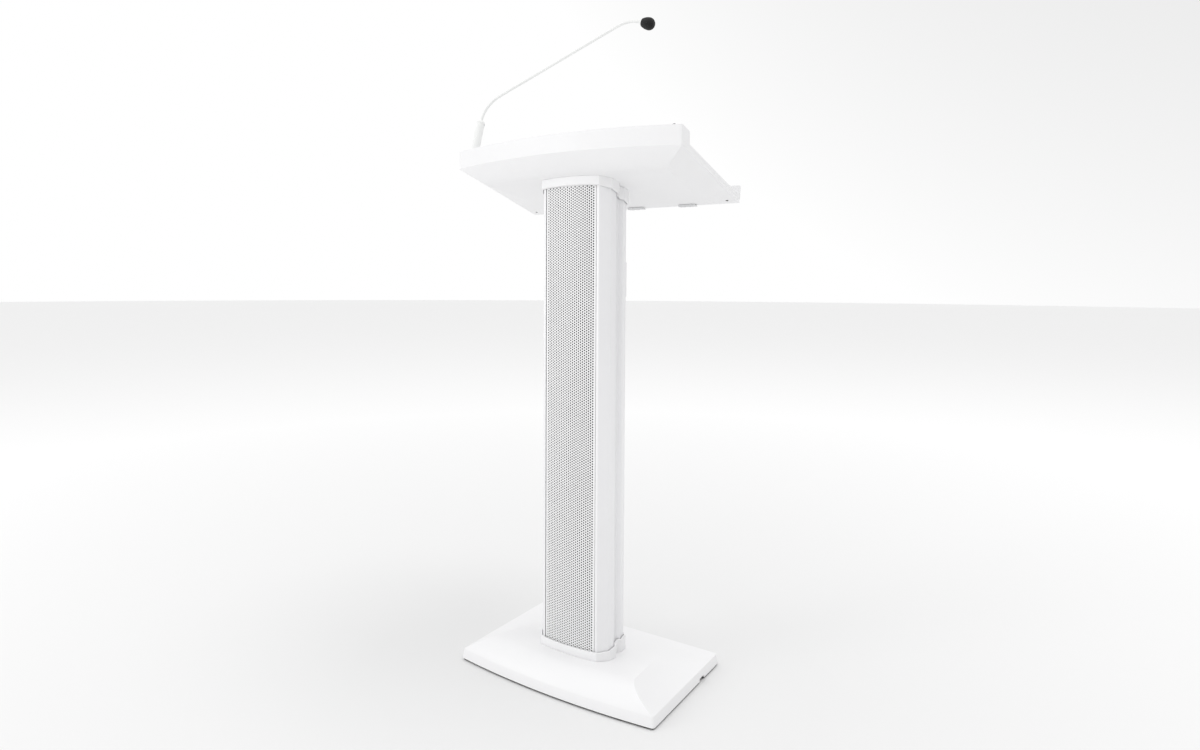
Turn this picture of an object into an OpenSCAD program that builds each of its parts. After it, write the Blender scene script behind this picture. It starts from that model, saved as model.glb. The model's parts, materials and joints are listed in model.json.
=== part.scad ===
// Active lectern: a column loudspeaker that carries a sloping reading desk,
// stands on a weighted base and holds a plug-in gooseneck microphone.
// Millimetres, +Z up, the audience side is -Y and the presenter stands at +Y.
// Every module works with Y counted back from the column's front corners, and
// placed() moves the result so that the origin is at the middle of the footprint.

/* [Overall] */
// Height of the front upper edge of the desk above the floor
desk_front_h = 1180; // [1150:1:1190]

/* [Base] */
// Width of the base
base_w = 509; // [500:1:520]
// Y of the base's front corners
base_y0 = -72; // [-74:0.5:-70]
// Y of the base's rear edge
base_y1 = 238.5; // [234:0.1:240]
// How far the front edge bows out between its corners
base_bow = 16.2; // [10:0.1:17]
// Height of the feet
foot_h = 1.5; // [1.5:0.5:2.5]
// Lower edge of the cover's skirt
skirt_z = 4; // [4:0.5:6]
// Height of the rim above the skirt
rim_z = 25.5; // [24:0.5:28]
// Height of the cover's top plane at the column's front corners
base_top_z = 58; // [56:0.5:60]
// Fall of that plane towards the rear
base_top_fall = 7.3; // [7:0.1:7.5]
// Wall of the moulded base cover
base_wall = 3; // [2.5:0.1:3]

/* [Column] */
// Half width at the front corners
col_half = 72.7; // [72:0.1:74]
// How far the front bows out between the corners
col_bow = 7.1; // [5:0.1:8]
// Wall of the aluminium extrusions
col_wall = 2.2; // [1.8:0.1:2.5]
// Width of the white edge strip beside the grille
strip_w = 5.6; // [5:0.1:7]
// Number of loudspeaker drivers in the line
driver_count = 8; // [6:1:8]
// Distance between neighbouring drivers
driver_pitch = 122; // [114:1:122]

/* [Desk] */
// Width of the desk
desk_w = 576.8; // [570:0.1:580]
// Y of the desk's front corners
desk_y0 = -41.6; // [-43:0.1:-40]
// Y of the desk's rear edge at its seam
desk_y1 = 245; // [243:0.1:246]
// How far the desk's front edge bows out
desk_bow = 24; // [20:0.5:26]
// Slope of the reading surface
slope = 16.156; // [15:0.001:17]
// Height of the front band of the desk
fascia_h = 39.5; // [38:0.1:41]
// Y of the step from the raised header down to the reading tray
step_y = -9.8; // [-12:0.1:-8]
// Wall of the desk's mouldings
desk_wall = 3; // [2.5:0.1:3]
// Height of the document stop's upper edge above the floor
stop_z = 1095.6; // [1090:0.1:1098]

/* [Microphone] */
// X of the left and right microphone sockets
socket_x = 251; // [245:1:253]
// Y of the sockets
socket_y = -29; // [-30:0.5:-28]
// Length of the plug's barrel above the desk
barrel_len = 84; // [80:1:86]
// Direction in which the neck leans, from +X towards the presenter
neck_turn = 14.8; // [10:0.1:20]
// Distance between two neighbouring ball joints in the flexible parts
link_len = 13; // [12:0.5:14]
// Rest bend at each ball joint of the lower flexible part
lower_bend = 9.43; // [5:0.01:12]
// Rest bend at each ball joint of the upper flexible part
upper_bend = 11.75; // [5:0.01:13]
// Length of the stiff tube between the flexible parts
rod_len = 326; // [300:1:330]

/* [Hidden] */
LINKS_LOW = 5;                 // loose links below the stiff tube
LINKS_UP = 3;                  // loose links above it
$fn = 48;
far = 900;                     // larger than any part of the lectern
fit = 0.05;                    // radial clearance of a running fit

// Column profile, right half, from the front corner to the middle of the rear
front_half = [[col_half, 0.3], [88.7, 21.4], [88.1, 45.9], [79.7, 56.7],
              [75.1, 76.2]];
rear_half = [[81.5, 83.7], [77.5, 104.3], [71, 110]];
web_y = 76.2;                  // rear face of the front extrusion
rear_y = 110;                  // rear face of the rear cover
collar_gap = 0.4;              // clearance between a collar and the column's front
collar_side_gap = 1.5;         // the same along the column's sides and rear
collar_wall = 4.6;
collar_z1 = 76.9;              // top of the base collar
collar_z2 = 1083.5;            // lower edge of the top collar at Y = 0
// The desk's underside is a plane that falls towards the rear
under_z = 1103.2;
under_fall = 10.95;
seam_h = 9.6;                  // seam between the desk shells, above its side edge
rim_h = 15;                    // top of the tray's side rims
floor_h = 5;                   // top of the tray's floor
rim_w = 14;                    // width of the tray's side rims
stop_y = 232.6;                // front face of the document stop
stop_rear_y = 249.2;           // rear edge of the document stop's top
// Distance of the column's front corners in front of the origin
column_front = (stop_rear_y + base_y0 - base_bow) / 2;
// Drivers
baffle_y = 6;
baffle_t = 6;
driver_r = 54;                 // outer radius of a driver's flange
driver_mid_z = 571;            // middle of the driver line
driver_bolt = 35.9;            // offset of a driver's screws along X and Z
driver_z = [for (i = [0 : driver_count - 1])
    driver_mid_z + (i - (driver_count - 1) / 2) * driver_pitch];
// Rear panels
panel_z0 = 846.5;
panel_z1 = 925;
panel_y = 120;                 // rear edge of the control panel's rim
face_y = 114;                  // control surface inside the rim
panel_half = 70;
inlet_z0 = 337;
inlet_z1 = 429;
inlet_y = 117;
knob_z = 903;
jack_z = 868;
knob_x = [44, 16, -12];
jack_x = [36, 8];
switch_pos = [-44, 0, 884];
rocker_r = 14;                 // radius of the rocker's curved back
lamp_pos = [-20, 0, 868];
inlet_pos = [0, 0, 383];
shaft_r = 3;
// Microphone
barrel_r = 9.3;
ball_r = 2.3;
neck_r = 3.25;

// ---------- helpers ----------
module placed() translate([0, -column_front, 0]) children();

// Height of the desk's lower side edge at a given Y
function edge_z(y) = desk_front_h - fascia_h - tan(slope) * (y - desk_y0);
function under(y) = under_z - tan(under_fall) * y;
function base_top(y) = base_top_z - tan(base_top_fall) * y;
function flip_x(p) = [-p[0], p[1]];
function backwards(list) = [for (i = [len(list) - 1 : -1 : 0]) list[i]];
// Both halves of a closed outline from its right half
function both(half) = concat(half, [for (p = backwards(half)) flip_x(p)]);
function unit(v) = v / norm(v);
// Outline moved outwards by d, with mitred corners (points run anticlockwise)
function grow(p, d) = [for (i = [0 : len(p) - 1])
    let (a = p[(i + len(p) - 1) % len(p)], b = p[i], c = p[(i + 1) % len(p)],
         u = unit(b - a), v = unit(c - b),
         m = [u[1] + v[1], -u[0] - v[0]])
    b + m * d / (1 + u * v)];
// Points of the bowed column front from the left corner to the right one
function bow_points(half, y, bow, n = 12) = [for (i = [1 : n - 1])
    let (x = half * (2 * i / n - 1)) [x, y - bow * (1 - pow(x / half, 2))]];

column_outline = concat(front_half, rear_half,
    [for (p = backwards(concat(front_half, rear_half))) flip_x(p)],
    bow_points(col_half, 0.3, col_bow));

// Half space below a plane that falls towards +Y
module below(z0, fall)
    translate([0, 0, z0]) rotate([-fall, 0, 0])
        translate([-far, -far, -2 * far]) cube(2 * far);

module above(z0, fall)
    translate([0, 0, z0]) rotate([-fall, 0, 0])
        translate([-far, -far, 0]) cube(2 * far);

// Side view outline (Y, Z) drawn across from x0 to x1
module across(x0, x1, outline)
    translate([x0, 0, 0]) rotate([90, 0, 90])
        linear_extrude(x1 - x0) polygon(outline);

// Slanted bar that follows the desk, between two heights above its side edge
module slab(x0, x1, y0, y1, h0, h1)
    across(x0, x1, [[y0, edge_z(y0) + h0], [y1, edge_z(y1) + h0],
                    [y1, edge_z(y1) + h1], [y0, edge_z(y0) + h1]]);

// Solid rod between two points
module bar(a, b, r) {
    d = b - a;
    translate(a) rotate([0, acos(d[2] / norm(d)), atan2(d[1], d[0])])
        cylinder(r = r, h = norm(d), $fn = 24);
}

// Cylinder whose axis runs back from y0 to y1
module along_y(x, z, r, y0, y1, r2 = -1)
    translate([x, y0, z]) rotate([-90, 0, 0])
        cylinder(r1 = r, r2 = r2 < 0 ? r : r2, h = y1 - y0);

// Places children on the desk's header, +Z out of its surface
module on_header(x)
    translate([x, socket_y, edge_z(socket_y) + fascia_h])
        rotate([-slope, 0, 0]) children();

// Soft corner: a quadratic curve from p to q pulled towards c
function corner(p, c, q, t) = pow(1 - t, 2) * p + 2 * t * (1 - t) * c + t * t * q;

// Closed ring of points: a bowed front, two straight sides and a straight rear,
// all on one plane that falls towards +Y
FRONT_STEPS = 8;
CORNER_STEPS = 5;
SIDE_STEPS = 8;
REAR_STEPS = 4;
function half_ring(xf, yf, xb, yb, bow, rf, rb) =
    let (c = [xf, yf], d = [xb, yb], u = unit(d - c), w = xf - rf,
         front = [for (i = [0 : FRONT_STEPS])
             let (x = w * i / FRONT_STEPS) [x, yf - bow * (1 - pow(x / xf, 2))]],
         ps = c + u * rf, pe = d - u * rb, pb = [xb - rb, yb])
    concat(front,
        [for (i = [1 : CORNER_STEPS])
            corner(front[FRONT_STEPS], c, ps, i / CORNER_STEPS)],
        [for (i = [1 : SIDE_STEPS]) ps + (pe - ps) * i / SIDE_STEPS],
        [for (i = [1 : CORNER_STEPS]) corner(pe, d, pb, i / CORNER_STEPS)],
        [for (i = [1 : REAR_STEPS]) [pb[0] * (1 - i / REAR_STEPS), yb]]);
function ring_xy(xf, yf, xb, yb, bow, rf, rb) =
    let (h = half_ring(xf, yf, xb, yb, bow, rf, rb))
    concat(h, [for (i = [len(h) - 2 : -1 : 1]) flip_x(h[i])]);
function lift(ring, z0, fall) = [for (p = ring) [p[0], p[1], z0 - tan(fall) * p[1]]];

// Skin through a row of rings, closed at both ends
module loft(rings, upside_down = false) {
    n = len(rings[0]);
    walls = [for (k = [0 : len(rings) - 2]) for (i = [0 : n - 1])
        let (a = k * n + i, b = k * n + (i + 1) % n)
        for (f = [[a, a + n, b + n], [a, b + n, b]]) f];
    first = [for (i = [0 : n - 1]) i];
    last = [for (i = [n - 1 : -1 : 0]) (len(rings) - 1) * n + i];
    all = concat(walls, [first, last]);
    polyhedron(points = [for (r = rings) for (p = r) p],
        faces = upside_down ? [for (f = all) backwards(f)] : all);
}

// ---------- base ----------
plate_top = 8;                 // top of the steel plate inside the cover
crest_w = 191.8;               // half width of the top plane's front corner
crest_rear_w = 159.9;
crest_y0 = -44.9;
crest_y1 = 174.3;
notch = [137, 160];            // cable notch in the right skirt, along Y
post_slot = [59, 14, 79];      // half width and Y span of the bracket's opening

function base_ring(inset, z) = lift(ring_xy(base_w / 2 - inset, base_y0 + inset,
    base_w / 2 - inset, base_y1 - inset, base_bow, 7, 8), z, 0);
function crest_ring(inset, drop) = lift(ring_xy(crest_w - inset, crest_y0 + inset,
    crest_rear_w - inset, crest_y1 - inset, 9, 26, 6), base_top_z - drop, base_top_fall);

module base_shell() {
    rim_inset = 3;
    color("white") placed() difference() {
        loft([crest_ring(1, base_wall), base_ring(rim_inset + base_wall, rim_z - 2.4),
              base_ring(base_wall, skirt_z), base_ring(0, skirt_z),
              base_ring(rim_inset, rim_z), crest_ring(0, 0)]);
        translate([-post_slot[0], post_slot[1], plate_top + 4])
            cube([2 * post_slot[0], post_slot[2] - post_slot[1], far]);
        translate([base_w / 2 - 10, notch[0], skirt_z - 1])
            cube([20, notch[1] - notch[0], 7]);
    }
}

plate_inset = 2;
screw_spots = [for (x = [-240, 0, 240]) for (y = [-52, 215]) [x, y]];
foot_spots = [for (x = [-215, 215]) for (y = [-45, 200]) [x, y]];
bolt_spots = [for (x = [-40, 40]) for (y = [30, 58]) [x, y]];

// Plate's outline, a given distance inside the cover's skirt
function plate_outline(inset) = ring_xy(base_w / 2 - inset, base_y0 + inset,
    base_w / 2 - inset, base_y1 - inset, base_bow, 7, 8);

module base_plate() {
    color("dimgray") placed() difference() {
        union() {
            translate([0, 0, foot_h]) linear_extrude(skirt_z - foot_h)
                polygon(plate_outline(plate_inset));
            translate([0, 0, foot_h]) linear_extrude(plate_top - foot_h)
                polygon(plate_outline(plate_inset + base_wall));
        }
        translate([base_w / 2 - 16, notch[0], 0]) cube([20, notch[1] - notch[0], 20]);
        for (p = screw_spots) translate([p[0], p[1], 0]) cylinder(r = 2.6, h = 20);
        for (p = bolt_spots) translate([p[0], p[1], 0]) cylinder(r = 4.2, h = 20);
    }
}

module base_feet() {
    color("black") placed()
        for (p = foot_spots) translate([p[0], p[1], 0])
            cylinder(r1 = 17, r2 = 19, h = foot_h);
}

// Screws that hold the cover to the plate, heads under the plate
module base_screws() {
    color("silver") placed()
        for (p = screw_spots) translate([p[0], p[1], 0]) {
            translate([0, 0, 0.5]) cylinder(r = 4.5, h = foot_h - 0.5);
            translate([0, 0, foot_h]) cylinder(r = 2.5, h = 10);
        }
}

module base_bracket() {
    color("silver") placed() difference() {
        union() {
            translate([-55, 18, plate_top]) cube([110, 56, 4]);
            translate([-55, 70, plate_top]) cube([110, 3.9, 180]);
            for (x = [-55, 52]) across(x, x + 3,
                [[24, plate_top + 4], [70, plate_top + 4], [70, 100], [66, 100]]);
        }
        for (p = bolt_spots) translate([p[0], p[1], 0]) cylinder(r = 4.2, h = 30);
        for (x = [-35, 35]) for (z = [110, 165]) along_y(x, z, 2.6, 60, 80);
    }
}

module column_bolts() {
    color("silver") placed()
        for (p = bolt_spots) translate([p[0], p[1], 0]) {
            translate([0, 0, 0.5]) cylinder(r = 6.5, h = foot_h - 0.5, $fn = 6);
            translate([0, 0, foot_h]) cylinder(r = 4, h = 16);
            translate([0, 0, plate_top + 4]) cylinder(r = 6.5, h = 6, $fn = 6);
        }
}

// Opening of a collar: close to the front, wider behind the front corners
module collar_opening()
    translate([0, 0, -1]) linear_extrude(far * 2) {
        polygon(grow(column_outline, collar_gap));
        intersection() {
            polygon(grow(column_outline, collar_side_gap));
            translate([-far, 1.5]) square([2 * far, far]);
        }
    }

module base_collar() {
    color("white") placed() difference() {
        linear_extrude(collar_z1) polygon(grow(column_outline, collar_gap + collar_wall));
        collar_opening();
        below(base_top_z + 0.05, base_top_fall);
    }
}

// ---------- column ----------
column_top = collar_z2 + 8;    // cut of the column's top inside the collar

// Length of the column between the base cover and the top collar
module column_length(outline)
    difference() {
        linear_extrude(desk_front_h) polygon(outline);
        below(base_top_z + 0.1, base_top_fall);
        above(column_top, slope);
    }

module column_front() {
    mouth = col_half - strip_w;
    outer = both(front_half);
    inner = grow(outer, -col_wall);
    color("white") placed() {
        difference() {
            column_length(outer);
            translate([0, 0, -1]) linear_extrude(far * 2) polygon(inner);
            // the front is open between the two edge strips
            translate([-mouth, -1, -1]) cube([2 * mouth, 6, far * 2]);
            // windows for the wiring and holes for the bracket screws
            for (z = [240, 884]) along_y(0, z, 8, 70, 80);
            for (x = [-35, 35]) for (z = [110, 165, 1000, 1040])
                along_y(x, z, 2.6, 70, 80);
        }
        // ribs that carry the baffle
        for (s = [-1, 1]) intersection() {
            column_length([[s * 59, 12.1], [s * 84, 12.1], [s * 84, 14.6], [s * 59, 14.6]]);
            translate([0, 0, -1]) linear_extrude(far * 2)
                polygon(grow(outer, -col_wall / 2));
        }
    }
}

module column_rear() {
    outer = both(concat([[74.9, web_y + 0.3]], rear_half));
    inner = both([[72.6, web_y + 0.2], [79, 84.2], [75.2, 103.4], [70, 107.8]]);
    color("white") placed() difference() {
        column_length(outer);
        translate([0, 0, -1]) linear_extrude(far * 2) polygon(inner);
        translate([-65, 100, panel_z0 + 5]) cube([130, 20, panel_z1 - panel_z0 - 10]);
        translate([-48, 100, inlet_z0 + 10]) cube([96, 20, inlet_z1 - inlet_z0 - 20]);
        for (x = [-60, 60]) for (z = [inlet_z0 + 8, inlet_z1 - 8])
            along_y(x, z, 1.6, 100, 120);
        for (x = [-66.5, 66.5]) for (z = [panel_z0 + 4, panel_z1 - 4])
            along_y(x, z, 1.6, 100, 120);
    }
}

// Outline of a bowed strip, front face at depth y and thickness t
function bowed_strip(half, y, bow, t) = concat(
    [[-half, y]], bow_points(half, y, bow, 24), [[half, y], [half, y + t]],
    backwards(bow_points(half, y + t, bow, 24)), [[-half, y + t]]);

module speaker_grille() {
    half = col_half - strip_w - 0.6;
    color("white") placed()
        column_length(bowed_strip(half, 1.4, col_bow, 1.2));
}

module grille_cloth() {
    half = col_half - strip_w - 2;
    color("gray") placed()
        column_length(bowed_strip(half, 3, col_bow - 0.2, 0.8));
}

module driver_baffle() {
    color("dimgray") placed() difference() {
        column_length([[-66, baffle_y], [66, baffle_y], [66, baffle_y + baffle_t],
                       [-66, baffle_y + baffle_t]]);
        for (z = driver_z) {
            along_y(0, z, 47.5, 0, 20);
            for (x = [-1, 1]) for (dz = [-1, 1])
                along_y(x * driver_bolt, z + dz * driver_bolt, 1.45, 0, 20);
        }
    }
}

// Turns a profile drawn as (radius, depth) about a driver's axis
module turned(z) translate([0, 0, z]) rotate([-90, 0, 0]) rotate_extrude() children();

module driver_baskets() {
    color("dimgray") placed() for (z = driver_z) difference() {
        turned(z) polygon([[46, 4], [driver_r, 4], [driver_r, baffle_y], [47.3, baffle_y],
            [47.3, 14], [30, 32], [30, 34], [10, 34], [10, 32], [28, 32], [45, 13]]);
        for (x = [-1, 1]) for (dz = [-1, 1])
            along_y(x * driver_bolt, z + dz * driver_bolt, 1.75, 0, 8);
    }
}

module driver_magnets() {
    color("darkslategray") placed() for (z = driver_z)
        turned(z) polygon([[10.5, 34], [34, 34], [34, 37], [31, 37], [31, 48],
                           [34, 48], [34, 52], [0, 52], [0, 47], [10.5, 47]]);
}

module driver_cones() {
    color("black") placed() for (z = driver_z) turned(z) union() {
        polygon([[42.3, 5.2], [42.3, 6], [13, 24.8], [13, 30], [12.2, 30], [12.2, 24.5]]);
        polygon([[0, 15], [0, 15.8], [7, 16.6], [13, 19.6], [15.5, 22.8], [17, 21.6],
                 [14, 18.8], [8, 15.8]]);
    }
}

module driver_surrounds() {
    color("black") placed() for (z = driver_z)
        turned(z) difference() {
            translate([43.75, 5.2]) circle(r = 2.1);
            translate([43.75, 5.2]) circle(r = 1.5);
            translate([40, 5.2]) square([8, 4]);
        }
}

module driver_screws() {
    color("silver") placed() for (z = driver_z)
        for (x = [-1, 1]) for (dz = [-1, 1]) {
            along_y(x * driver_bolt, z + dz * driver_bolt, 3, 2.6, 4);
            along_y(x * driver_bolt, z + dz * driver_bolt, 1.4, 4, 11.5);
        }
}

module top_collar() {
    color("white") placed() difference() {
        translate([0, 0, collar_z2 - 60]) linear_extrude(120)
            polygon(grow(column_outline, collar_gap + collar_wall));
        collar_opening();
        below(collar_z2, slope);
        above(under_z - 0.05, under_fall);
    }
}

desk_bolt_x = 45;
desk_bolt_y = [32, 84];

// Places children under the desk at a given point of its lower plane, +Z up
module on_under(x, y)
    translate([x, y, under(y)]) rotate([-under_fall, 0, 0]) children();

module top_bracket() {
    color("silver") placed() difference() {
        union() {
            across(-58, 58, [for (p = [[20, -3.1], [96, -3.1], [96, -0.1], [20, -0.1]])
                [p[0], under(p[0]) + p[1]]]);
            across(-50, 50, [[70, 975], [73.9, 975],
                [73.9, under(73.9) - 2], [70, under(70) - 2]]);
        }
        for (x = [-desk_bolt_x, desk_bolt_x]) for (y = desk_bolt_y)
            on_under(x, y) translate([0, 0, -10]) cylinder(r = 3.2, h = 20);
        for (x = [-35, 35]) for (z = [1000, 1040]) along_y(x, z, 2.6, 60, 80);
        on_under(0, 86) translate([0, 0, -10]) cylinder(r = 8, h = 20);
    }
}

// Screws that tie both brackets to the column's web and the desk to its bracket
module bracket_screws() {
    color("silver") placed() {
        for (x = [-35, 35]) for (z = [110, 165, 1000, 1040]) {
            along_y(x, z, 4.5, 66.5, 70);
            along_y(x, z, 2.5, 70, 79);
        }
        for (x = [-desk_bolt_x, desk_bolt_x]) for (y = desk_bolt_y) on_under(x, y) {
            translate([0, 0, -6.1]) cylinder(r = 5.5, h = 3);
            translate([0, 0, -3.1]) cylinder(r = 3, h = 9);
            translate([0, 0, 3]) cylinder(r = 5, h = 4, $fn = 6);
        }
    }
}

// ---------- electronics ----------
module control_panel() {
    color("white") placed() difference() {
        translate([-panel_half, rear_y + 0.1, panel_z0])
            cube([2 * panel_half, panel_y - rear_y - 0.1, panel_z1 - panel_z0]);
        translate([-panel_half + 6, face_y, panel_z0 + 6])
            cube([2 * panel_half - 12, 20, panel_z1 - panel_z0 - 12]);
        // hollow behind the control surface
        translate([-62, rear_y, panel_z0 + 8])
            cube([124, face_y - rear_y - 2, panel_z1 - panel_z0 - 16]);
        for (x = knob_x) along_y(x, knob_z, 3.6, 100, 120);
        for (x = jack_x) along_y(x, jack_z, 5.1, 100, 120);
        translate([switch_pos[0] - 8.1, 100, switch_pos[2] - 12.1]) cube([16.2, 20, 24.2]);
        along_y(lamp_pos[0], lamp_pos[2], 2.6, 100, 120);
        for (x = [-66.5, 66.5]) for (z = [panel_z0 + 4, panel_z1 - 4])
            along_y(x, z, 1.6, 100, 125);
    }
}

module panel_screws() {
    color("black") placed() {
        for (x = [-66.5, 66.5]) for (z = [panel_z0 + 4, panel_z1 - 4]) {
            along_y(x, z, 2.8, panel_y, panel_y + 1.4);
            along_y(x, z, 1.5, 108.2, panel_y);
        }
        for (x = [-60, 60]) for (z = [inlet_z0 + 8, inlet_z1 - 8]) {
            along_y(x, z, 2.8, inlet_y, inlet_y + 1.4);
            along_y(x, z, 1.5, 105, inlet_y);
        }
    }
}

module amp_board() {
    color("green") placed() difference() {
        translate([-60, 80, 806]) cube([120, 1.6, 150]);
        for (x = [-55, 55]) for (z = [811, 951]) along_y(x, z, 1.6, 70, 90);
    }
}

module amp_heatsink() {
    fins = 9;
    color("silver") placed() {
        translate([-56, 81.7, 928]) cube([112, 3, 26]);
        for (i = [0 : fins - 1])
            translate([-56 + i * 13.75, 84, 928]) cube([2, 18, 26]);
    }
}

module power_transformer() {
    color("goldenrod") placed() difference() {
        along_y(0, 560, 36, 79, 104);
        along_y(0, 560, 12, 70, 110);
    }
}

module pot_bodies() {
    color("silver") placed() for (x = knob_x) difference() {
        union() {
            along_y(x, knob_z, 8, 100, face_y - 2);
            along_y(x, knob_z, 3.5, face_y - 2, face_y + 3);
        }
        along_y(x, knob_z, shaft_r + fit, 104, face_y + 4);
    }
}

// Knob with its shaft; the pointer is a groove on the skirt
module panel_knob(x) {
    color("black") placed() difference() {
        union() {
            along_y(x, knob_z, shaft_r, 104.2, face_y + 5);
            along_y(x, knob_z, 7, face_y + 3.5, face_y + 5);
            along_y(x, knob_z, 6, face_y + 5, face_y + 14, 5.4);
        }
        translate([x - 0.5, face_y + 12.6, knob_z + 1]) cube([1, 3, 6]);
    }
}
module knob_mic_1() panel_knob(knob_x[0]);
module knob_mic_2() panel_knob(knob_x[1]);
module knob_line() panel_knob(knob_x[2]);

pivot_y = face_y + 1;          // axis of the power rocker

module rocker_frame() {
    color("black") placed() difference() {
        union() {
            translate([switch_pos[0] - 8, 98, switch_pos[2] - 12]) cube([16, face_y - 98, 24]);
            translate([switch_pos[0] - 9.5, face_y, switch_pos[2] - 13.5]) cube([19, 1.8, 27]);
        }
        translate([switch_pos[0] - 6, 100, switch_pos[2] - 10]) cube([12, 30, 20]);
    }
}

// Rocker tipped so that its lower end stands out
module power_rocker() {
    tip = 8;
    color("black") placed() translate([switch_pos[0], pivot_y, switch_pos[2]])
        rotate([tip, 0, 0]) intersection() {
            translate([-5.8, -8, -9.4]) cube([11.6, 13, 18.8]);
            rotate([0, 90, 0]) cylinder(r = 9.6, h = 30, center = true);
            union() {
                translate([-10, -20, -20]) rotate([-5, 0, 0]) cube([20, 24, 24]);
                translate([-10, -20, -4]) rotate([5, 0, 0]) cube([20, 24, 24]);
            }
        }
}

module power_lamp() {
    color("lime") placed() {
        along_y(lamp_pos[0], lamp_pos[2], 2.5, 104, face_y);
        along_y(lamp_pos[0], lamp_pos[2], 2.5, face_y, face_y + 1.5, 1.6);
    }
}

jack_bore_r = 3.25;
module audio_jacks() {
    color("dimgray") placed() for (x = jack_x) difference() {
        union() {
            translate([x - 7.5, 92, jack_z - 7.5]) cube([15, face_y - 2 - 92, 15]);
            along_y(x, jack_z, 5, face_y - 2, face_y + 2);
            along_y(x, jack_z, 7.5, face_y, face_y + 2);
        }
        along_y(x, jack_z, jack_bore_r, 98, face_y + 3);
    }
}

module inlet_panel() {
    color("white") placed() difference() {
        translate([-panel_half, rear_y + 0.1, inlet_z0])
            cube([2 * panel_half, inlet_y - rear_y - 0.1, inlet_z1 - inlet_z0]);
        translate([-56, rear_y, inlet_z0 + 5])
            cube([112, inlet_y - rear_y - 2.5, inlet_z1 - inlet_z0 - 10]);
        translate([-14.1, 100, inlet_pos[2] - 10.6]) cube([28.2, 30, 21.2]);
        for (x = [-60, 60]) for (z = [inlet_z0 + 8, inlet_z1 - 8])
            along_y(x, z, 1.6, 100, 125);
    }
}

// Mains inlet with three blades in a keyed recess
module mains_inlet() {
    back = 94;
    color("black") placed() {
        difference() {
            union() {
                translate([-14, back, inlet_pos[2] - 10.5]) cube([28, inlet_y - back, 21]);
                translate([-16.5, inlet_y, inlet_pos[2] - 12.5]) cube([33, 2, 25]);
            }
            translate([-12, back + 4, inlet_pos[2] - 8]) cube([24, 30, 12]);
            across(-12, 12, [[back + 4, inlet_pos[2] + 4], [inlet_y + 3, inlet_pos[2] + 4],
                [inlet_y + 3, inlet_pos[2] + 8], [back + 4, inlet_pos[2] + 8]]);
        }
        for (x = [-7, 0, 7])
            translate([x - 1, back + 3, inlet_pos[2] - 2 + (x == 0 ? 3.5 : -1)])
                cube([2, 15, 4]);
    }
}

// ---------- desk ----------
function desk_ring(inset, y1) = ring_xy(desk_w / 2 - inset, desk_y0 + inset,
    desk_w / 2 - inset, y1 - inset, desk_bow, 3, 3);
function desk_edge_ring(inset, y1, h) =
    lift(desk_ring(inset, y1), edge_z(0) + h, slope);
function desk_crest_ring(inset, rise) = lift(ring_xy(239.5 - inset, -19.2 + inset,
    209.4 - inset, 220.3 - inset, 16, 24, 6), under_z + rise, under_fall);
edge_y1 = 243.6;               // lower rear edge of the desk
wire_hole = [0, 86];
groove_w = 6;                  // groove in the tray in front of the document stop
groove_drop = 1.2;
desk_screw = [266.5, 223.8, 1062.1];
desk_screw_tilt = 14.9;        // slope of the pan's side facet at the screw
// Places children at both screws of the desk, +Z into the desk
module at_desk_screws() for (s = [-1, 1])
    translate([s * desk_screw[0], desk_screw[1], desk_screw[2]])
        rotate([-desk_screw_tilt, 0, 0]) children();

module desk_lower_shell() {
    t = desk_wall;
    color("white") placed() difference() {
        union() {
            loft([desk_crest_ring(1, t), desk_edge_ring(t, edge_y1, 1.5),
                  desk_edge_ring(t, desk_y1, seam_h), desk_edge_ring(0, desk_y1, seam_h),
                  desk_edge_ring(0, edge_y1, 0), desk_crest_ring(0, 0)], true);
            // bowed front band and its two end cheeks
            intersection() {
                linear_extrude(far * 2) difference() {
                    polygon(desk_ring(0, desk_y1));
                    polygon(desk_ring(t, desk_y1));
                }
                slab(-far, far, -80, step_y - 3.1, seam_h - 3, fascia_h);
            }
        }
        for (x = [-desk_bolt_x, desk_bolt_x]) for (y = desk_bolt_y)
            on_under(x, y) translate([0, 0, -5]) cylinder(r = 3.2, h = 12);
        on_under(wire_hole[0], wire_hole[1]) translate([0, 0, -5]) cylinder(r = 8, h = 12);
        at_desk_screws() translate([0, 0, -4]) cylinder(r = 3.25, h = 9);
    }
}

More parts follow.
